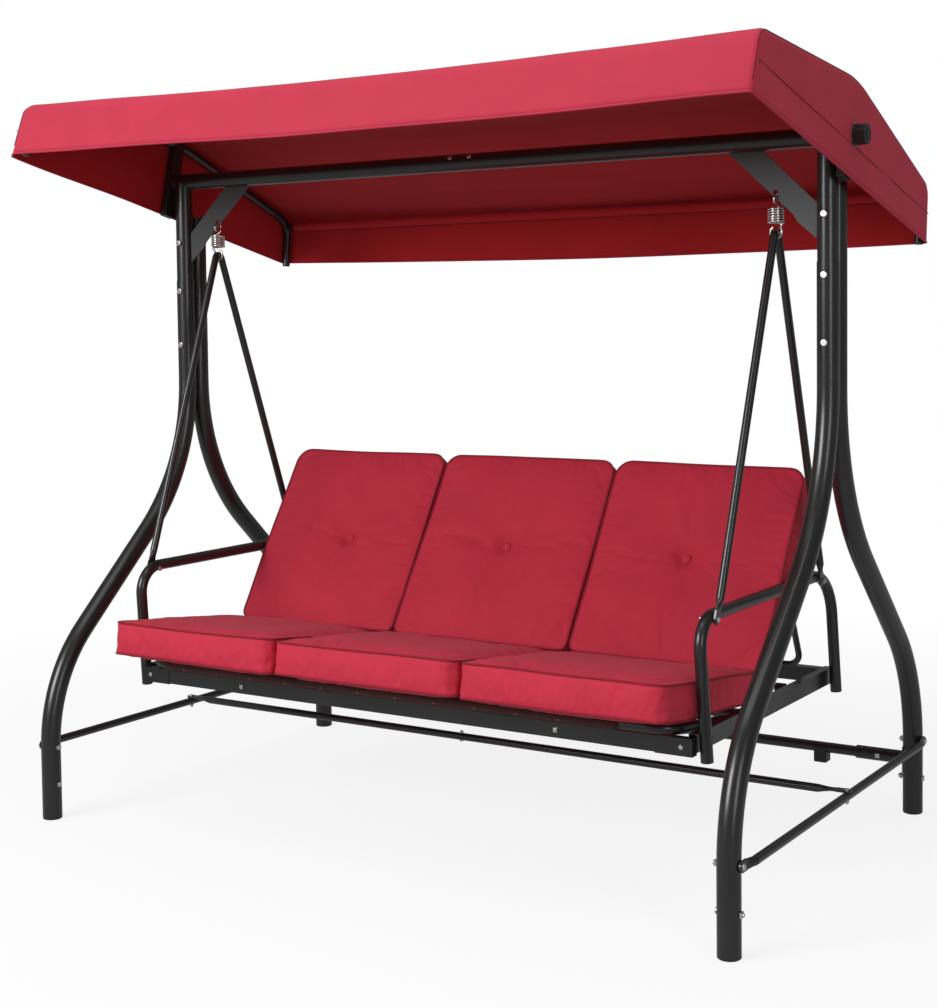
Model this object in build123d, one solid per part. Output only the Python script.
from build123d import *
import os
from math import sin, cos, tan, radians, pi, hypot, atan2, degrees

# Three-seat canopy swing with a spring-hung seat and a back that folds flat.
# Millimetres.  Origin on the floor, midway between the four feet.
# +X runs to the sitter's left-hand end (long way), +Y to the back, +Z up.
# "right" in a name means the +X end, as seen from in front; "left" is -X.

os.makedirs("parts", exist_ok=True)

# ---- sizes shared by several sections ----
WALL = 1.5                  # usual tube wall
FIT = 0.1                   # gap between parts that touch
BOLT_R = 4.0
BOLT_HOLE_R = 4.3
SMALL_BOLT_R = 3.0
SMALL_HOLE_R = 3.3
SMALL_HEAD = dict(shank_r=SMALL_BOLT_R, head_r=6.5, head_h=3.0)

LEG_X = 950.0               # leg and post plane
LEG_R = 25.0
POST_Y = 25.5               # front and rear posts stand side by side
BEAM_Z = 1676.0
PIVOT_BORE_R = 5.06         # canopy parts on the canopy pivot bolt

HANG_X = 827.0              # springs and tops of the hangers
WIRE_R = 2.6
HANGER_R = 9.5
APEX_Z = 1455.5             # centre of the bend at the top of the hanger
APEX_R = 12.6               # of that bend, to the tube centre

FRAME_R = 13.0              # tubes of the seat panel and the back
FRAME_X = 750.0
SLING_LIFT = FRAME_R + FIT  # underside of a sling above the frame centre
SLING_T = 1.6
SLING_INSET = 6.0


# ---- helpers ----
def save(name, *shapes):
    solids = [solid for shape in shapes for solid in shape.solids()]
    out = Compound(children=solids) if len(solids) > 1 else solids[0]
    export_step(out, f"parts/{name}.step")


def mirror_x(shape):
    return shape.mirror(Plane.YZ)


def both(*shapes):
    """The given shapes and their mirror images at the other end."""
    return [*shapes, *(mirror_x(shape) for shape in shapes)]


def save_pair(name, right):
    save(name + "_right", right)
    save(name + "_left", mirror_x(right))


def rounded_wire(points, radii):
    """Lines through the points, with tangent arcs at the inner corners."""
    points = [Vector(*p) for p in points]
    edges = []
    start = points[0]
    for before, corner, after, r in zip(points, points[1:], points[2:], radii):
        back = (before - corner).normalized()
        ahead = (after - corner).normalized()
        half = radians(back.get_angle(ahead)) / 2
        arc_start = corner + back * (r / tan(half))
        arc_end = corner + ahead * (r / tan(half))
        arc_mid = corner + (back + ahead).normalized() * (r / sin(half) - r)
        if (arc_start - start).length > 1e-6:
            edges.append(Edge.make_line(start, arc_start))
        edges.append(Edge.make_three_point_arc(arc_start, arc_mid, arc_end))
        start = arc_end
    edges.append(Edge.make_line(start, points[-1]))
    return Wire(edges)


def sweep_tube(wire, r, wall):
    plane = Plane(origin=wire.position_at(0), z_dir=wire.tangent_at(0))
    return sweep(plane * (Circle(r) - Circle(r - wall)), path=wire)


def bent_tube(points, radii, r, wall=WALL):
    return sweep_tube(rounded_wire(points, radii), r, wall)


def rod(start, end, r, wall=0.0):
    """Straight round bar, or a tube if a wall is given."""
    start, end = Vector(*start), Vector(*end)
    length = (end - start).length
    plane = Plane(origin=start, z_dir=(end - start).normalized())
    out = plane * extrude(Circle(r), length)
    if wall:
        out = out - plane * extrude(Circle(r - wall), length)
    return out


def bore(centre, direction, r, reach):
    """Cutter reaching equally far both ways from its centre."""
    centre, step = Vector(*centre), Vector(*direction) * reach
    return rod(centre - step, centre + step, r)


def box(x0, x1, y0, y1, z0, z1):
    centre = Pos((x0 + x1) / 2, (y0 + y1) / 2, (z0 + z1) / 2)
    return centre * Box(x1 - x0, y1 - y0, z1 - z0)


def rect_tube(along_x, x0, x1, y0, y1, z0, z1):
    """Rectangular tube along X, or else along Y, open at both ends."""
    dx, dy = (-1, WALL) if along_x else (WALL, -1)
    inside = box(x0 + dx, x1 - dx, y0 + dy, y1 - dy, z0 + WALL, z1 - WALL)
    return box(x0, x1, y0, y1, z0, z1) - inside


def end_plug(mouth, inward, disc_r, disc_h, core_r, core_len, core_wall=2.0):
    """Disc over the mouth of a tube, with a core that runs into it."""
    mouth, inward = Vector(*mouth), Vector(*inward)
    seat = mouth - inward * FIT
    disc = rod(mouth - inward * disc_h, seat, disc_r)
    return disc + rod(seat, mouth + inward * core_len, core_r, core_wall)


def bolt(under_head, direction, grip, shank_r=BOLT_R, head_r=8.5, head_h=4.0,
         nut_r=6.5, nut_h=6.0, square_nut=False):
    """Domed head, a shank along the direction, and a nut beyond the grip."""
    tail = 3.0              # shank beyond the nut
    origin, direction = Vector(*under_head), Vector(*direction).normalized()
    plane = Plane(origin=origin, z_dir=direction)
    shank = plane * extrude(Circle(shank_r), grip + nut_h + tail)
    head = plane * (Pos(0, 0, -head_h / 2) * Cylinder(head_r, head_h))
    # guards the rounding of the head; the head stays flat if it fails
    try:
        by_depth = head.edges().group_by(lambda e: (e.center() - origin).dot(direction))
        head = fillet(by_depth[0], head_h * 0.6)
    except Exception:
        pass
    if square_nut:
        nut = Pos(0, 0, grip + nut_h / 2) * Box(2 * nut_r, 2 * nut_r, nut_h)
    else:
        nut = Pos(0, 0, grip) * extrude(RegularPolygon(nut_r / cos(pi / 6), 6), nut_h)
    return shank + head + plane * nut


# ===========================================================================
# LEGS
# ===========================================================================
FOOT_Y = 579.0              # foot centres, front and back
LEG_END_Z = 4.0
SPLICE_Z = 1400.0           # upper post plugs into the front leg here
REAR_TOP_Z = 1576.0
FRONT_BEND_Z = 877.0        # where straight post and slant would meet
REAR_BEND_Z = 866.0
LOW_BEND_Z = 359.5          # where slant and straight foot would meet
LEG_BENDS = (560.0, 400.0)  # radii, upper and lower
POST_BOLT_Z = (1505.0, 1370.0, 1219.0)
BASE_Z = 189.0              # lower side rails, and the upper base bolts
LOW_BOLT_Z = 92.0
LEG_DRILL = 40.0            # reach of the cutters through a leg
LEG_PLUG_R = LEG_R - WALL - FIT


def leg(is_rear):
    side_y = 1 if is_rear else -1
    top = REAR_TOP_Z if is_rear else SPLICE_Z
    bend = REAR_BEND_Z if is_rear else FRONT_BEND_Z
    post_y, foot_y = side_y * POST_Y, side_y * FOOT_Y
    path = [(LEG_X, post_y, top), (LEG_X, post_y, bend),
            (LEG_X, foot_y, LOW_BEND_Z), (LEG_X, foot_y, LEG_END_Z)]
    out = bent_tube(path, LEG_BENDS, LEG_R)
    for z in POST_BOLT_Z:
        if z < top:
            out = out - bore((LEG_X, post_y, z), (0, 1, 0), BOLT_HOLE_R, LEG_DRILL)
    for z in (BASE_Z, LOW_BOLT_Z):
        out = out - bore((LEG_X, foot_y, z), (1, 0, 0), BOLT_HOLE_R, LEG_DRILL)
    return out


def foot_plug(y):
    out = end_plug((LEG_X, y, LEG_END_Z), (0, 0, 1), disc_r=LEG_R, disc_h=LEG_END_Z,
                   core_r=LEG_PLUG_R, core_len=22)
    return chamfer(out.edges().group_by(Axis.Z)[0], 2.0)


def rear_post_cap():
    return end_plug((LEG_X, POST_Y, REAR_TOP_Z), (0, 0, -1), disc_r=LEG_R - 0.5,
                    disc_h=3, core_r=LEG_PLUG_R, core_len=20)


def post_bolt(z):
    """Clamps the front and rear posts together."""
    start = (LEG_X, -POST_Y - LEG_R - FIT, z)
    return bolt(start, (0, 1, 0), 2 * (POST_Y + LEG_R + FIT))


save_pair("leg_front", leg(is_rear=False))
save_pair("leg_rear", leg(is_rear=True))
save("foot_plugs", *both(foot_plug(-FOOT_Y), foot_plug(FOOT_Y)))
save("rear_post_caps", *both(rear_post_cap()))
save("post_bolts", *both(*(post_bolt(z) for z in POST_BOLT_Z)))

# ===========================================================================
# TOP FRAME: each half of the beam is welded on top of an upper post
# ===========================================================================
BEAM_R = 22.0
BEAM_END_X = 978.0
BEAM_SEAM_X = 45.0
BEAM_SEAM_GAP = 0.4
BEAM_BORE_R = BEAM_R - WALL
BEAM_PLUG_X = 940.0         # inner end of the plug in the beam end
UPPER_R = 23.8
UPPER_BORE_R = 22.0
SPIGOT_R = LEG_R - WALL - 0.05
BEAM_BOLT_X = (-40.0, 17.0)
BEAM_BOLT_TILT = radians(35)
BEAM_BOLT_DIR = (0, cos(BEAM_BOLT_TILT), -sin(BEAM_BOLT_TILT))


def along_beam(x0, x1, r, wall=0.0):
    return rod((x0, -POST_Y, BEAM_Z), (x1, -POST_Y, BEAM_Z), r, wall)


def top_frame_half(side):
    x = LEG_X * side

    def along_post(z0, z1, r, wall=0.0):
        return rod((x, -POST_Y, z0), (x, -POST_Y, z1), r, wall)

    if side > 0:
        x0, x1 = BEAM_SEAM_X, BEAM_END_X
        plug_x0, plug_x1 = BEAM_PLUG_X, BEAM_END_X
    else:
        x0, x1 = -BEAM_END_X, BEAM_SEAM_X - BEAM_SEAM_GAP
        plug_x0, plug_x1 = -BEAM_END_X, -BEAM_PLUG_X
    beam = along_beam(x0, x1, BEAM_R)
    # the post stops inside the beam
    post = along_post(SPLICE_Z + 1.5, BEAM_Z, UPPER_R)
    post = post & box(x - 60, x + 60, -POST_Y - 60, -POST_Y + 60, SPLICE_Z, BEAM_Z - 4)
    beam_bore = along_beam(x0 - 1, x1 + 1, BEAM_BORE_R)
    post_bore = along_post(SPLICE_Z - 1, BEAM_Z - BEAM_R + 1, UPPER_BORE_R)
    out = (beam + post) - post_bore - beam_bore
    out = out + along_post(SPLICE_Z + 20, SPLICE_Z - 210, SPIGOT_R, 1.5)
    for z in POST_BOLT_Z:
        out = out - bore((x, -POST_Y, z), (0, 1, 0), BOLT_HOLE_R, LEG_DRILL)
    # end plug that carries the canopy pivot bolt
    out = out + along_beam(plug_x0, plug_x1, BEAM_BORE_R + 0.2)
    return out - along_beam(plug_x0 - 1, plug_x1 + 1, 5.05)


def joint_sleeve(frame):
    """Add the sleeve that enters the left half, and its fixed collar."""
    inner = BEAM_SEAM_X + 30
    frame = frame + along_beam(inner, BEAM_SEAM_X - 130, BEAM_BORE_R - 0.05, 1.6)
    return frame + along_beam(inner, BEAM_SEAM_X + 2, BEAM_BORE_R + 0.2, 1.7)


def drill_beam(frame):
    for x in BEAM_BOLT_X:
        frame = frame - bore((x, -POST_Y, BEAM_Z), BEAM_BOLT_DIR, SMALL_HOLE_R, 40)
    return frame


def beam_bolt(x):
    reach = BEAM_R + FIT
    start = Vector(x, -POST_Y, BEAM_Z) - Vector(*BEAM_BOLT_DIR) * reach
    return bolt(start, BEAM_BOLT_DIR, 2 * reach, nut_r=5.0, nut_h=5.0, **SMALL_HEAD)


def brace_plate():
    """Plate in the corner between beam and post; the spring hooks into it."""
    thickness = 4.0
    # outline, (x, z)
    outline = [(712, 1653.9), (797, 1653.9), (924.8, 1532),
               (924.8, 1452), (880, 1490), (869, 1507.5)]
    hook_hole_z = 1559.2
    plane = Plane(origin=(0, -POST_Y + thickness / 2, 0), x_dir=(1, 0, 0), z_dir=(0, -1, 0))
    out = plane * extrude(make_face(Polyline(*outline, close=True)), thickness)
    return out - bore((HANG_X, -POST_Y, hook_hole_z), (0, 1, 0), 6.4, 10)


def canopy_pivot_bolt():
    out = along_beam(930, 1040, 5.0)
    return out + along_beam(BEAM_END_X + 0.2, BEAM_END_X + 3.2, 12.0)


save("top_frame_right", drill_beam(joint_sleeve(top_frame_half(1))))
save("top_frame_left", drill_beam(top_frame_half(-1)))
save("beam_bolts", *(beam_bolt(x) for x in BEAM_BOLT_X))
save_pair("brace_plate", brace_plate())
save("canopy_pivot_bolts", *both(canopy_pivot_bolt()))

# ===========================================================================
# BASE
# ===========================================================================
BASE_RAIL_X = 984.0
BASE_RAIL_R = 10.0
BASE_RAIL_WALL = 1.2
BASE_TAB_T = 5.0            # thickness of the pressed ends
BASE_TAB_SHIFT = -5.8       # pressed ends lie inwards of the rail centre
TAB_W = 24.0                # width of every pressed end

CROSS_RAIL_Z = 140.0
CROSS_RAIL_R = 13.5
CROSS_RAIL_X = 905.0
SADDLE_R = 17.0
SADDLE_BOLT_X = 863.0
BUFFER_X = 706.0

STRETCH_Z = 199.0
STRETCH_R = 9.5
STRETCH_WALL = 1.2
STRETCH_TAPER_X = (BASE_RAIL_X - 70, BASE_RAIL_X - 26)
STRETCH_TAB_T = 4.6
STRETCH_TAB_Z = BASE_Z + BASE_RAIL_R + 2.6
STRETCH_BOLT_X = -55.0


def base_rail():
    """Side rail along Y, outside the legs, its ends pressed flat and drilled."""
    tab, taper = 20, 30
    length = 2 * FOOT_Y
    shift, thick = BASE_TAB_SHIFT, BASE_TAB_T
    plane = Plane(origin=(BASE_RAIL_X, -FOOT_Y, BASE_Z), x_dir=(1, 0, 0), z_dir=(0, 1, 0))

    def tab_disc(x, z, r, depth):
        face = Plane(origin=(x, 0, z), x_dir=(0, 1, 0), z_dir=(1, 0, 0))
        return face * extrude(Circle(r), depth)

    ends = tab + taper
    out = Pos(0, 0, ends) * extrude(Circle(BASE_RAIL_R), length - 2 * ends)
    out = out - Pos(0, 0, ends + 2) * extrude(
        Circle(BASE_RAIL_R - BASE_RAIL_WALL), length - 2 * ends - 4)
    for at_start in (True, False):
        tip = 0 if at_start else length
        flat_z = tab if at_start else length - tab
        round_z = ends if at_start else length - ends
        flat = Pos(shift, 0, flat_z) * RectangleRounded(thick, TAB_W, thick * 0.45)
        circle = Pos(0, 0, round_z) * Circle(BASE_RAIL_R)
        out = out + loft([flat, circle] if at_start else [circle, flat])
        tab_box = Pos(shift, 0, (tip + flat_z) / 2) * Box(thick, TAB_W, tab)
        out = out + tab_box + tab_disc(shift - thick / 2, tip, TAB_W / 2, thick)
        out = out - tab_disc(shift - thick, tip, BOLT_HOLE_R, thick * 2)
    return plane * out - bore((BASE_RAIL_X, 0, BASE_Z), (0, 0, 1), SMALL_HOLE_R, 20)


def along_cross_rail(x0, x1, r, wall=0.0):
    return rod((x0, FOOT_Y, CROSS_RAIL_Z), (x1, FOOT_Y, CROSS_RAIL_Z), r, wall)


def cross_rail_bore(x):
    return bore((x, FOOT_Y, CROSS_RAIL_Z), (0, 1, 0), SMALL_HOLE_R, 30)


def rear_cross_rail():
    out = along_cross_rail(-CROSS_RAIL_X, CROSS_RAIL_X, CROSS_RAIL_R, WALL)
    for x in (-SADDLE_BOLT_X, SADDLE_BOLT_X):
        out = out - cross_rail_bore(x)
    return out


def rail_saddle():
    """Part shell round the rear leg, with a sleeve over the cross rail."""
    def along_leg(z0, z1, r):
        return rod((LEG_X, FOOT_Y, z0), (LEG_X, FOOT_Y, z1), r)

    shell = along_leg(104, 168, LEG_R + 2.2) - along_leg(90, 180, LEG_R + 0.2)
    shell = shell - box(LEG_X + 12, LEG_X + 60, FOOT_Y - 60, FOOT_Y + 60, 80, 190)
    shell = shell - box(LEG_X - 60, LEG_X + 60, FOOT_Y + 21, FOOT_Y + 60, 80, 190)
    sleeve = along_cross_rail(802, LEG_X - LEG_R - 1.0, SADDLE_R)
    sleeve = sleeve - along_cross_rail(800, 960, CROSS_RAIL_R + FIT)
    sleeve = sleeve - along_leg(90, 190, LEG_R + 0.2)
    return shell + sleeve - cross_rail_bore(SADDLE_BOLT_X)


def rail_buffer():
    """Rubber block clipped round the cross rail from below."""
    out = box(BUFFER_X - 17, BUFFER_X + 17, FOOT_Y - 15.5, FOOT_Y + 15.5,
              101, CROSS_RAIL_Z + 2)
    out = fillet(out.faces().sort_by(Axis.Z)[0].edges(), 4)
    return out - along_cross_rail(BUFFER_X - 30, BUFFER_X + 30, CROSS_RAIL_R + 0.05)


def along_stretcher(x0, x1, r, wall):
    return rod((x0, 0, STRETCH_Z), (x1, 0, STRETCH_Z), r, wall)


def stretcher_half(side):
    """Half of the centre stretcher; its flat end lies on the side rail."""
    round_x, flat_x = (side * x for x in STRETCH_TAPER_X)
    end_x = side * BASE_RAIL_X
    half_w = TAB_W / 2

    def section_plane(x, z):
        return Plane(origin=(x, 0, z), x_dir=(0, 0, 1), z_dir=(side, 0, 0))

    out = along_stretcher(side * 0.2, round_x, STRETCH_R, STRETCH_WALL)
    circle = section_plane(round_x, STRETCH_Z) * Circle(STRETCH_R)
    flat = section_plane(flat_x, STRETCH_TAB_Z) * RectangleRounded(STRETCH_TAB_T, TAB_W, 2.1)
    out = out + loft([circle, flat])
    tab = box(min(flat_x, end_x), max(flat_x, end_x), -half_w, half_w,
              STRETCH_TAB_Z - STRETCH_TAB_T / 2, STRETCH_TAB_Z + STRETCH_TAB_T / 2)
    tab = tab + Pos(end_x, 0, STRETCH_TAB_Z) * Cylinder(half_w, STRETCH_TAB_T)
    return out + tab - bore((end_x, 0, STRETCH_TAB_Z), (0, 0, 1), SMALL_HOLE_R, 10)


def stretcher_bore():
    return bore((STRETCH_BOLT_X, 0, STRETCH_Z), (0, 0, 1), 2.8, 15)


def stretcher_right():
    """The half with the sleeve that enters the left half."""
    out = stretcher_half(1) + along_stretcher(30, -70, STRETCH_R - 1.25, 1.2)
    return out + along_stretcher(30, 1, STRETCH_R - 1.0, 1.3) - stretcher_bore()


def base_bolts():
    bolts = []
    rail_face = BASE_RAIL_X + BASE_TAB_SHIFT + BASE_TAB_T / 2 + FIT
    tab_top = STRETCH_TAB_Z + STRETCH_TAB_T / 2 + FIT
    for side in (-1, 1):
        for y in (-FOOT_Y, FOOT_Y):
            # side rail to leg, head outside the pressed tab
            bolts.append(bolt((side * rail_face, y, BASE_Z), (-side, 0, 0),
                              rail_face - (LEG_X - LEG_R) + FIT, head_r=7.5))
        # low bolt of the front leg: its head is towards -X at both ends
        bolts.append(bolt((side * LEG_X - LEG_R - FIT, -FOOT_Y, LOW_BOLT_Z), (1, 0, 0),
                          2 * (LEG_R + FIT), head_r=7.5, square_nut=True,
                          nut_r=6.0, nut_h=4.5))
        # low bolt of the rear leg, head outside
        bolts.append(bolt((side * (LEG_X + LEG_R + FIT), FOOT_Y, LOW_BOLT_Z),
                          (-side, 0, 0), 2 * LEG_R + 3.0, head_r=7.5))
        # cross rail to saddle, square nut to the front
        bolts.append(bolt((side * SADDLE_BOLT_X, FOOT_Y + SADDLE_R + FIT, CROSS_RAIL_Z),
                          (0, -1, 0), 2 * (SADDLE_R + FIT), square_nut=True,
                          nut_r=5.5, nut_h=4.0, **SMALL_HEAD))
        # stretcher to side rail, from above
        bolts.append(bolt((side * BASE_RAIL_X, 0, tab_top), (0, 0, -1),
                          tab_top - (BASE_Z - BASE_RAIL_R) + FIT,
                          nut_r=5.0, nut_h=4.5, **SMALL_HEAD))
    # through the joint of the stretcher, from below
    bolts.append(bolt((STRETCH_BOLT_X, 0, STRETCH_Z - STRETCH_R - FIT), (0, 0, 1),
                      2 * (STRETCH_R + FIT), shank_r=2.5, head_r=5.0, head_h=2.5,
                      nut_r=4.5, nut_h=4.0))
    return bolts


save_pair("base_rail", base_rail())
save("rear_cross_rail", rear_cross_rail())
save("rear_rail_saddles", *both(rail_saddle()))
save("rear_rail_buffers", *both(rail_buffer()))
save("stretcher_right", stretcher_right())
save("stretcher_left", stretcher_half(-1) - stretcher_bore())
save("base_bolts", *base_bolts())

# ===========================================================================
# SPRINGS
# ===========================================================================
HOOK_Z = 1556.5             # wire centre in the brace hole, the swing axis
COIL_R = 16.5
COIL_TOP = 1526.0
COIL_TURNS = 6
COIL_PITCH = 5.6
TOP_HOOK_R = 12.0
LOW_HOOK_R = 13.5


def wire_along(points):
    path = Spline(*points)
    plane = Plane(origin=path @ 0, z_dir=path % 0)
    return sweep(plane * Circle(WIRE_R), path=path)


def spring():
    x, y = HANG_X, -POST_Y
    top_z = COIL_TOP - WIRE_R
    height = COIL_PITCH * COIL_TURNS
    bottom_z = top_z - height
    helix = Pos(x, y, bottom_z) * Helix(pitch=COIL_PITCH, height=height, radius=COIL_R)
    plane = Plane(origin=helix @ 0, z_dir=helix % 0)
    coil = sweep(plane * Circle(WIRE_R), path=helix)
    low_end, high_end = sorted((helix @ 0, helix @ 1), key=lambda p: p.Z)

    # top hook, in the YZ plane
    hook_z = HOOK_Z - TOP_HOOK_R
    path = [high_end,
            Vector(x + COIL_R * 0.75, y + 4, top_z + 3.0),
            Vector(x + COIL_R * 0.25, y + 7.5, top_z + 5.5)]
    for angle in range(-20, 241, 20):
        a = radians(angle)
        path.append(Vector(x, y + TOP_HOOK_R * cos(a), hook_z + TOP_HOOK_R * sin(a)))
    top_hook = wire_along(path)

    # lower hook, in the XZ plane, under the bend of the hanger
    hook_z = APEX_Z + (APEX_R - HANGER_R) - WIRE_R - 0.4 + LOW_HOOK_R
    lead = radians(38)
    path = [low_end,
            Vector(x + COIL_R * 0.93, y - 3.5, bottom_z - 3.0),
            Vector(x + LOW_HOOK_R * cos(lead) + 1.2, y - 1.5,
                   hook_z + LOW_HOOK_R * sin(lead) + 2.5)]
    for angle in range(20, -241, -20):
        a = radians(angle)
        path.append(Vector(x + LOW_HOOK_R * cos(a), y, hook_z + LOW_HOOK_R * sin(a)))
    low_hook = wire_along(path)

    # balls fill the joints between coil and hooks
    balls = [Pos(*tuple(end)) * Sphere(WIRE_R * 1.01) for end in (high_end, low_end)]
    return coil + top_hook + low_hook + balls[0] + balls[1]


save_pair("spring", spring())

# ===========================================================================
# ARMS AND HANGERS
# ===========================================================================
ARM_X = 807.0               # at the feet of the arms
ARM_TOP_X = 800.0           # the arms lean in a little
ARM_R = 14.0
# path of the arm, (x, y, z), from front foot to rear foot
ARM_PATH = [(ARM_X, -367.0, 331.0), (ARM_TOP_X, -393.0, 639.0),
            (ARM_TOP_X, 383.0, 640.0), (ARM_X, 410.0, 335.0)]
ARM_BENDS = (65.0, 120.0)
HANG_FRONT = (-336.0, 632.0)    # hanger bolts, (y, z)
HANG_REAR = (285.0, 631.0)

HANGER_HOLE_R = 4.2
HANGER_END = 46.0           # length of tube that is not round, at each foot
HANGER_TAPER = 28.0
HANGER_TAB_T = 5.0
HANGER_TAB_SHIFT = -1.0     # pressed tabs lie inwards of the tube centre
HANGER_INNER = HANGER_TAB_SHIFT - HANGER_TAB_T / 2   # inner face of the tab


def apex_tangent(foot, front):
    """Point (y, z) where the line to a foot leaves the bend at the apex."""
    y, z = -POST_Y, APEX_Z
    dy, dz = foot[0] - y, foot[1] - z
    dist2 = dy * dy + dz * dz
    along = APEX_R * APEX_R / dist2
    across = APEX_R * (dist2 - APEX_R * APEX_R) ** 0.5 / dist2
    points = [(y + along * dy - k * dz, z + along * dz + k * dy)
              for k in (across, -across)]
    return (min if front else max)(points, key=lambda p: p[0])


def short_of(start, end, gap):
    dist = hypot(end[0] - start[0], end[1] - start[1])
    k = (dist - gap) / dist
    return (start[0] + (end[0] - start[0]) * k, start[1] + (end[1] - start[1]) * k)


def hanger():
    """One bent tube, flattened where it is bolted to the arm."""
    x = HANG_X
    front_tangent = apex_tangent(HANG_FRONT, front=True)
    rear_tangent = apex_tangent(HANG_REAR, front=False)
    front_end = short_of(front_tangent, HANG_FRONT, HANGER_END)
    rear_end = short_of(rear_tangent, HANG_REAR, HANGER_END)
    apex = Vector(x, -POST_Y, APEX_Z + APEX_R)
    wire = Wire([
        Edge.make_line(Vector(x, *front_end), Vector(x, *front_tangent)),
        Edge.make_three_point_arc(Vector(x, *front_tangent), apex,
                                  Vector(x, *rear_tangent)),
        Edge.make_line(Vector(x, *rear_tangent), Vector(x, *rear_end)),
    ])
    out = sweep_tube(wire, HANGER_R, WALL)
    tab_len = HANGER_END - HANGER_TAPER
    for end, foot in ((front_end, HANG_FRONT), (rear_end, HANG_REAR)):
        d = Vector(0, foot[0] - end[0], foot[1] - end[1]).normalized()
        round_plane = Plane(origin=Vector(x, *end), x_dir=(1, 0, 0), z_dir=d)
        flat_start = Vector(x + HANGER_TAB_SHIFT, end[0] + d.Y * HANGER_TAPER,
                            end[1] + d.Z * HANGER_TAPER)
        flat_plane = Plane(origin=flat_start, x_dir=(1, 0, 0), z_dir=d)
        out = out + loft([round_plane * Circle(HANGER_R),
                          flat_plane * RectangleRounded(HANGER_TAB_T, TAB_W, 2.2)])
        tab = flat_plane * (Pos(0, 0, tab_len / 2) * Box(HANGER_TAB_T, TAB_W, tab_len))
        inner_face = Plane(origin=(x + HANGER_INNER, *foot), z_dir=(1, 0, 0))
        out = out + tab + inner_face * extrude(Circle(TAB_W / 2), HANGER_TAB_T)
        out = out - bore((x, *foot), (1, 0, 0), HANGER_HOLE_R, 20)
    # it leans in so that its feet lie against the arms
    lean = degrees(atan2(HANG_X + HANGER_INNER - (ARM_TOP_X + ARM_R + 0.15),
                         APEX_Z - HANG_FRONT[1]))
    return out.rotate(Axis((x, -POST_Y, APEX_Z), (0, 1, 0)), lean)


def arm():
    out = bent_tube(ARM_PATH, ARM_BENDS, ARM_R)
    for place in (HANG_FRONT, HANG_REAR):
        out = out - bore((ARM_TOP_X, *place), (1, 0, 0), HANGER_HOLE_R, 40)
    return out


def arm_end_plug(foot, bend):
    inward = (Vector(*bend) - Vector(*foot)).normalized()
    return end_plug(foot, inward, disc_r=ARM_R, disc_h=2.6,
                    core_r=ARM_R - WALL - FIT, core_len=16)


def hanger_bolts():
    outer = ARM_TOP_X + ARM_R + 5.35
    inner = ARM_TOP_X - ARM_R - FIT
    front = bolt((outer, *HANG_FRONT), (-1, 0, 0), outer - inner,
                 head_r=6.5, head_h=3.5, nut_r=5.8, nut_h=5.0)
    # low head inside, so the folding back passes it
    rear = bolt((inner, *HANG_REAR), (1, 0, 0), outer - inner,
                head_r=7.0, head_h=1.6, nut_r=5.8, nut_h=4.5)
    return both(front, rear)


save_pair("hanger", hanger())
save_pair("arm", arm())
save("arm_end_plugs", *both(arm_end_plug(ARM_PATH[0], ARM_PATH[1]),
                            arm_end_plug(ARM_PATH[3], ARM_PATH[2])))
save("hanger_bolts", *hanger_bolts())

# ===========================================================================
# SEAT BASE
# ===========================================================================
RAIL_IN, RAIL_OUT = 768.5, 788.5        # side rail, inner and outer faces
RAIL_Y = (-377, 436)
RAIL_Z = (348.0, 388.0)
FRONT_RAIL_X = 786
FRONT_Y0, FRONT_Y1 = -400.0, -380.0
FRONT_Z0, FRONT_Z1 = 345.0, 380.5
FRONT_BOLT_X = (454, 762)               # at each end: inner, and in the socket
FRONT_BOLT_Z = 363
SOCKET_T = 1.6
REAR_RAIL_Y = (405.0, 435.0)
REAR_RAIL_Z = (350, 386)
STOP_Y, STOP_Z = 200, 373


def along_stop(x0, x1, r):
    return rod((x0, STOP_Y, STOP_Z), (x1, STOP_Y, STOP_Z), r)


def front_rail_bore(x):
    return bore((x, (FRONT_Y0 + FRONT_Y1) / 2, FRONT_BOLT_Z), (0, 1, 0), SMALL_HOLE_R, 40)


def seat_side_rail():
    out = rect_tube(False, RAIL_IN, RAIL_OUT, *RAIL_Y, *RAIL_Z)
    # hole in the outer wall only
    out = out - rod((RAIL_OUT - 5, -300, 366), (RAIL_OUT + 15, -300, 366), 3.5)
    # the bore for the bed stop ends within the outer wall
    return out - along_stop(760, 788, BOLT_HOLE_R)


def seat_front_rail():
    out = rect_tube(True, -FRONT_RAIL_X, FRONT_RAIL_X, FRONT_Y0, FRONT_Y1,
                    FRONT_Z0, FRONT_Z1)
    for side in (-1, 1):
        for x in FRONT_BOLT_X:
            out = out - front_rail_bore(side * x)
    return out


def front_rail_socket():
    """Channel pressed round the front rail, welded to the side rail."""
    out = box(699, RAIL_OUT, FRONT_Y0 - SOCKET_T, FRONT_Y1 + SOCKET_T,
              FRONT_Z0 - SOCKET_T, FRONT_Z1 + SOCKET_T)
    out = out - box(690, RAIL_OUT - WALL, FRONT_Y0 - FIT, FRONT_Y1 + FIT,
                    FRONT_Z0 - FIT, FRONT_Z1 + FIT)
    return out - front_rail_bore(FRONT_BOLT_X[1])


def front_rail_bolts():
    depth = FRONT_Y1 - FRONT_Y0
    skin = SOCKET_T + FIT
    head = dict(shank_r=SMALL_BOLT_R, head_r=5.5, head_h=3.0, nut_r=5.0)
    in_socket = bolt((FRONT_BOLT_X[1], FRONT_Y0 - skin, FRONT_BOLT_Z), (0, 1, 0),
                     depth + 2 * skin, nut_h=4.0, **head)
    inner = bolt((FRONT_BOLT_X[0], FRONT_Y1 + FIT, FRONT_BOLT_Z), (0, -1, 0),
                 depth + 2 * FIT, square_nut=True, nut_h=3.5, **head)
    return both(in_socket, inner)


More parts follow.
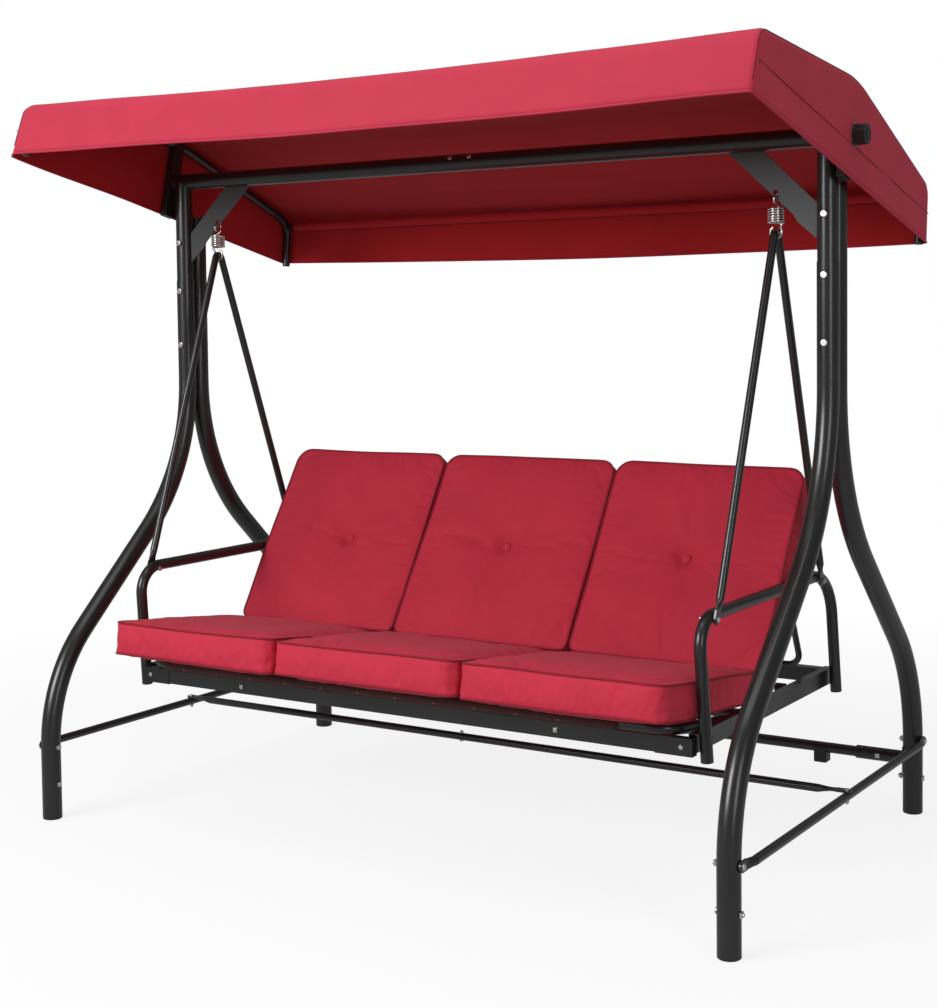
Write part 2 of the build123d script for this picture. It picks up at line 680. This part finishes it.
def bed_stop():
    """Short stub inside the side rail."""
    return along_stop(733, 756, 12.9) - along_stop(730, 760, BOLT_HOLE_R)


def bed_stop_bolt():
    out = along_stop(729, 786.5, BOLT_R) + along_stop(756.2, RAIL_IN - 0.2, 9.0)
    return out + along_stop(728, 732.8, 7.0)


save_pair("seat_rail", seat_side_rail())
save("seat_front_rail", seat_front_rail())
save("seat_rear_rail", rect_tube(True, -RAIL_IN + 0.3, RAIL_IN - 0.3,
                                 *REAR_RAIL_Y, *REAR_RAIL_Z))
save("front_rail_sockets", *both(front_rail_socket()))
save("bed_stops", *both(bed_stop()))
save("seat_rail_bolts", *front_rail_bolts(), *both(bed_stop_bolt()))

# ===========================================================================
# SEAT PANEL (local: x, y rearwards, z up from the panel), tilted back
# ===========================================================================
SEAT_TILT = 7.2
SEAT_Y, SEAT_Z = -413.0, 400.5          # centre of the front tube
SEAT = Pos(0, SEAT_Y, SEAT_Z) * Rot(-SEAT_TILT, 0, 0)
PANEL_DEPTH = 416.0
# x ranges of the three cushions
GAP_X, OUTER_X = 266.0, 783.5
CUSHION_SPANS = {
    "left": (-OUTER_X, -GAP_X),
    "middle": (-GAP_X + 2.5, GAP_X - 2.5),
    "right": (GAP_X, OUTER_X),
}
CUSHION_LIFT = FRAME_R + 2.6            # underside above the frame centre
CUSHION_EDGE = 14


def seat_panel_frame():
    x = FRAME_X
    loop = [(0, 0, 0), (x, 0, 0), (x, PANEL_DEPTH, 0),
            (-x, PANEL_DEPTH, 0), (-x, 0, 0), (0, 0, 0)]
    return bent_tube(loop, (62,) * 4, FRAME_R, 1.3)


def sling(y0, y1, corner_r):
    x = FRAME_X - SLING_INSET
    out = box(-x, x, y0, y1, SLING_LIFT, SLING_LIFT + SLING_T)
    return fillet(out.edges().filter_by(Axis.Z), corner_r)


def panel_bracket(y):
    """Holds the panel to the side rail: a shelf and a plate on the rail."""
    tube_z = SEAT_Z - (y - SEAT_Y) * tan(radians(SEAT_TILT))
    shelf_z0, shelf_z1 = tube_z - FRAME_R - 7.5, tube_z - FRAME_R - 3.5
    shelf = box(730, RAIL_IN - 0.2, y - 12, y + 12, shelf_z0, shelf_z1)
    plate = box(RAIL_IN - 3.2, RAIL_IN - 0.2, y - 12, y + 12,
                min(shelf_z0, 352), max(shelf_z1, 372))
    return shelf + plate


def cushion(x0, x1, y0, y1, z0, z1, low_y_r, high_y_r):
    """Block with rounded corners at its low-Y and high-Y ends and soft edges."""
    outline = Pos((x0 + x1) / 2, (y0 + y1) / 2) * Rectangle(x1 - x0, y1 - y0)
    out = Pos(0, 0, z0) * extrude(outline, z1 - z0)
    out = fillet(out.edges().filter_by(Axis.Z).sort_by(Axis.Y)[:2], low_y_r)
    out = fillet(out.edges().filter_by(Axis.Z).sort_by(Axis.Y)[-2:], high_y_r)
    for face in (-1, 0):
        out = fillet(out.faces().sort_by(Axis.Z)[face].edges(), CUSHION_EDGE)
    return out


def seat_cushion(x0, x1):
    out = cushion(x0, x1, -120, 370, 37, 110, low_y_r=32, high_y_r=20)
    # the underside swells down on to the sling between the side rails
    swell_x0, swell_x1 = max(x0 + 24, -736), min(x1 - 24, 736)
    centre = Pos((swell_x0 + swell_x1) / 2, 176, 0)
    swell = centre * extrude(Rectangle(swell_x1 - swell_x0, 372), 39.0)
    swell = swell & centre * Pos(0, 0, CUSHION_LIFT + 50) * Box(600, 600, 100)
    swell = fillet(swell.edges().filter_by(Axis.Z), 30)
    swell = fillet(swell.faces().sort_by(Axis.Z)[0].edges(), 12)
    return out + swell


save("seat_panel_frame", SEAT * seat_panel_frame())
save("seat_sling", SEAT * sling(8, PANEL_DEPTH - 8, corner_r=50))
save("seat_panel_brackets", *both(panel_bracket(-250), panel_bracket(-75)))
for name, (x0, x1) in CUSHION_SPANS.items():
    save("seat_cushion_" + name, SEAT * seat_cushion(x0, x1))

# ===========================================================================
# BACK (local: x, y up the back, z towards the sitter)
# ===========================================================================
HINGE_Y, HINGE_Z = 49.3, 400.0          # recline axis
BACK_LEAN = 32.5                        # from upright, in the sitting position
BACK = Pos(0, HINGE_Y, HINGE_Z) * Rot(90 - BACK_LEAN, 0, 0)
BACK_LEN = 526.0
BAIL_UP = 366.6                         # bail pivot, distance up the back
BUTTON_UP = 252
BAIL_LEN = 349.9
BAIL_LEAN = radians(25.0)               # from straight down, sitting
BAIL_X = 720.0
BAIL_R = 8.0
PIN_BORE_R = 4.05
BAIL_Y = HINGE_Y + BAIL_UP * sin(radians(BACK_LEAN))
BAIL_Z = HINGE_Z + BAIL_UP * cos(radians(BACK_LEAN))


def back_frame():
    x = FRAME_X
    path = [(x, -15, 0), (x, BACK_LEN, 0), (-x, BACK_LEN, 0), (-x, -15, 0)]
    out = bent_tube(path, (70, 70), FRAME_R)
    for side in (-1, 1):
        # collar at the recline pivot, then the bores of both pivots
        out = out + rod((side * (x - 9), 0, 0), (side * (x + 12.4), 0, 0), 9.0)
        for y, r in ((0, PIN_BORE_R), (BAIL_UP, BOLT_HOLE_R)):
            out = out - rod((side * 700, y, 0), (side * 800, y, 0), r)
    # cross tube
    return out + rod((-x + 11.6, 412, 0), (x - 11.6, 412, 0), 9.5, 1.3)


def back_cushion(x0, x1):
    """Cushion with a recess for the button in its face."""
    out = cushion(x0, x1, 11, 551, CUSHION_LIFT, 92, low_y_r=20, high_y_r=44)
    middle = (x0 + x1) / 2
    return out - rod((middle, BUTTON_UP, 78), (middle, BUTTON_UP, 100), 17.0)


def back_button(x0, x1):
    out = Pos((x0 + x1) / 2, BUTTON_UP, 81.2) * Cylinder(13, 6)
    return fillet(out.edges().group_by(Axis.Z)[-1], 2.8)


def along_hinge(x0, x1, r):
    return rod((x0, HINGE_Y, HINGE_Z), (x1, HINGE_Y, HINGE_Z), r)


def recline_bracket():
    """Round-topped plate on the inner face of the side rail."""
    x0, x1 = RAIL_IN - 3.6, RAIL_IN - FIT
    out = box(x0, x1, HINGE_Y - 17, HINGE_Y + 17, 352, HINGE_Z)
    return out + along_hinge(x0, x1, 17) - along_hinge(x0 - 5, x1 + 5, 4.2)


def recline_pin():
    out = along_hinge(733, RAIL_IN + 6, 4.0)
    out = out + along_hinge(RAIL_IN + FIT, RAIL_IN + 5, 7.0)
    return out + along_hinge(731.5, 735.8, 6.5)


def along_bail_pivot(x0, x1, r):
    return rod((x0, BAIL_Y, BAIL_Z), (x1, BAIL_Y, BAIL_Z), r)


def support_bail():
    """U-shaped prop from the back; its foot stands before the rear rail."""
    def place(x, down):
        return (x, BAIL_Y + sin(BAIL_LEAN) * down, BAIL_Z - cos(BAIL_LEAN) * down)

    path = [place(BAIL_X, -8), place(BAIL_X, BAIL_LEN),
            place(-BAIL_X, BAIL_LEN), place(-BAIL_X, -8)]
    out = bent_tube(path, (38, 38), BAIL_R, 1.3)
    for side in (-1, 1):
        out = out - along_bail_pivot(side * 700, side * 740, PIN_BORE_R)
    return out


def bail_pin():
    out = along_bail_pivot(709, 766, 4.0)
    # head, inner end and spacer, (x0, x1, radius)
    for x0, x1, r in ((763.1, 767, 6.5), (707, 711.5, 6.5), (728.4, 736.8, 6.0)):
        out = out + along_bail_pivot(x0, x1, r)
    return out


save("back_frame", BACK * back_frame())
save("back_sling", BACK * sling(14, BACK_LEN - 8, corner_r=30))
for name, (x0, x1) in CUSHION_SPANS.items():
    save("back_cushion_" + name, BACK * back_cushion(x0, x1))
save("back_buttons", *(BACK * back_button(x0, x1) for x0, x1 in CUSHION_SPANS.values()))
save("recline_brackets", *both(recline_bracket()))
save("recline_pins", *both(recline_pin()))
save("support_bail", support_bail())
save("bail_pins", *both(bail_pin()))

# ===========================================================================
# CANOPY (local: x, y rearwards, z up; origin on the pivot axis), tilted
# ===========================================================================
CANOPY_TILT = 13.2                      # back edge low
CANOPY = Pos(0, -POST_Y, BEAM_Z) * Rot(-CANOPY_TILT, 0, 0)
HEM_Y, HEM_Z = 562.0, -94.0
SHOULDER_Y, SHOULDER_Z = 543.0, 46.0
RIDGE_Z = 133.0
CANOPY_X = 1011.0
FABRIC_T = 4.0
VALANCE_LEAN = atan2(HEM_Y - SHOULDER_Y, SHOULDER_Z - HEM_Z)
ROOF_SLOPE = atan2(RIDGE_Z - SHOULDER_Z, SHOULDER_Y)

ARCH_R = 11.0                           # tubes of the side frames
ARCH_X = 993.0
ARCH_INSET = FABRIC_T + 2.0 + ARCH_R    # tube centre below the outer surface
REAR_END_Z = HEM_Z - 5.0
FRONT_END_Z = REAR_END_Z + 14.0         # the front leg stops inside the hem
UPRIGHT_FOOT_Z = HEM_Z - 1


def valance_y(inset, z):
    """Distance of the inset valance from the middle, at height z."""
    return HEM_Y - inset / cos(VALANCE_LEAN) - (z - HEM_Z) * tan(VALANCE_LEAN)


def ridge_z(inset):
    return RIDGE_Z - inset / cos(ROOF_SLOPE)


def shoulder(inset):
    """Where the inset valance and roof lines meet, (y, z)."""
    hem_y = valance_y(inset, HEM_Z)
    valance = (-sin(VALANCE_LEAN), cos(VALANCE_LEAN))
    roof = (cos(ROOF_SLOPE), -sin(ROOF_SLOPE))
    cross = valance[0] * roof[1] - valance[1] * roof[0]
    t = (-hem_y * roof[1] - (ridge_z(inset) - HEM_Z) * roof[0]) / cross
    return (hem_y + valance[0] * t, HEM_Z + valance[1] * t)


def canopy_block(inset, bottom_z, shoulder_r, ridge_r, half_x):
    """Solid under the canopy profile, offset inwards by the inset."""
    y, z = shoulder(inset)
    base_y = valance_y(inset, bottom_z)
    roof = rounded_wire(
        [(0, -base_y, bottom_z), (0, -y, z), (0, 0, ridge_z(inset)),
         (0, y, z), (0, base_y, bottom_z)],
        (shoulder_r, ridge_r, shoulder_r))
    base = Edge.make_line(Vector(0, base_y, bottom_z), Vector(0, -base_y, bottom_z))
    face = Face(Wire(list(roof.edges()) + [base]))
    return Solid.extrude(face, Vector(2 * half_x, 0, 0)).moved(Location((-half_x, 0, 0)))


def canopy_fabric():
    outer = canopy_block(0, HEM_Z, 40, 420, CANOPY_X)
    inner = canopy_block(FABRIC_T, HEM_Z - 5, 36, 416, CANOPY_X - FABRIC_T)
    return outer - inner - rod((-1100, 0, 0), (1100, 0, 0), 6.0)


def canopy_side_frame(side):
    """Arch with an upright of rectangular tube, drilled for the pivot."""
    x = side * ARCH_X
    y, z = shoulder(ARCH_INSET)
    top = ridge_z(ARCH_INSET)
    path = [(x, -valance_y(ARCH_INSET, FRONT_END_Z), FRONT_END_Z), (x, -y, z),
            (x, 0, top), (x, y, z),
            (x, valance_y(ARCH_INSET, REAR_END_Z), REAR_END_Z)]
    arch = bent_tube(path, (58, 400, 58), ARCH_R, 1.2)
    upright = box(x - 10, x + 10, -19, 19, UPRIGHT_FOOT_Z, top - 3)
    upright = upright - box(x - 8.5, x + 8.5, -17.5, 17.5, HEM_Z - 5, top - 20)
    # keep the upright clear of the bore of the arch
    arch_bore = rod((x, -40, top - 3.2), (x, 40, top - 3.2), ARCH_R - 1.0)
    out = arch + (upright - arch_bore)
    return out - rod((x - 20, 0, 0), (x + 20, 0, 0), PIVOT_BORE_R)


def canopy_bar(y):
    """Cross bar under the roof, near a shoulder."""
    x = ARCH_X - ARCH_R - 0.3
    return rod((-x, y, 14), (x, y, 14), ARCH_R - 1.0, 1.2)


def canopy_frame_plugs():
    """Plugs in the two ends of the arch and under the upright."""
    x = ARCH_X
    plugs = []
    for side_y, z in ((-1, FRONT_END_Z), (1, REAR_END_Z)):
        mouth = (x, side_y * valance_y(ARCH_INSET, z), z)
        inward = (0, -side_y * sin(VALANCE_LEAN), cos(VALANCE_LEAN))
        plugs.append(end_plug(mouth, inward, disc_r=ARCH_R, disc_h=3.0,
                              core_r=ARCH_R - 1.3, core_len=12, core_wall=0))
    seat_z = UPRIGHT_FOOT_Z - FIT
    foot = box(x - 10, x + 10, -19, 19, HEM_Z - 4.5, seat_z)
    plugs.append(foot + box(x - 8.3, x + 8.3, -17.3, 17.3, seat_z, HEM_Z + 10))
    return both(*plugs)


def knob(side):
    """Fluted knob on the pivot bolt, outside the canopy end panel."""
    r, depth, flutes = 23.0, 26.0, 10
    out = Pos(0, 0, depth / 2) * Cylinder(r, depth)
    flute_at = r + 2.4
    for i in range(flutes):
        a = 2 * pi * i / flutes
        place = Pos(flute_at * cos(a), flute_at * sin(a), depth / 2 + 4)
        out = out - place * Cylinder(4.6, depth)
    out = fillet(out.faces().sort_by(Axis.Z)[-1].edges(), 1.5)
    # flange against the canopy, bore for the bolt, then the end disc
    out = out + Pos(0, 0, -2.0) * Cylinder(24.5, 4.0)
    out = out - Pos(0, 0, 10) * Cylinder(PIVOT_BORE_R, 50)
    out = out + Pos(0, 0, depth + 0.6) * Cylinder(12, 1.2)
    plane = Plane(origin=(side * (CANOPY_X + 5.0), -POST_Y, BEAM_Z),
                  x_dir=(0, 1, 0), z_dir=(side, 0, 0))
    return plane * out


save("canopy_fabric", CANOPY * canopy_fabric())
save("canopy_front_bar", CANOPY * canopy_bar(-518))
save("canopy_rear_bar", CANOPY * canopy_bar(518))
save("canopy_frame_plugs", *(CANOPY * plug for plug in canopy_frame_plugs()))
for name, side in (("right", 1), ("left", -1)):
    save("canopy_side_frame_" + name, CANOPY * canopy_side_frame(side))
    save("knob_" + name, knob(side))
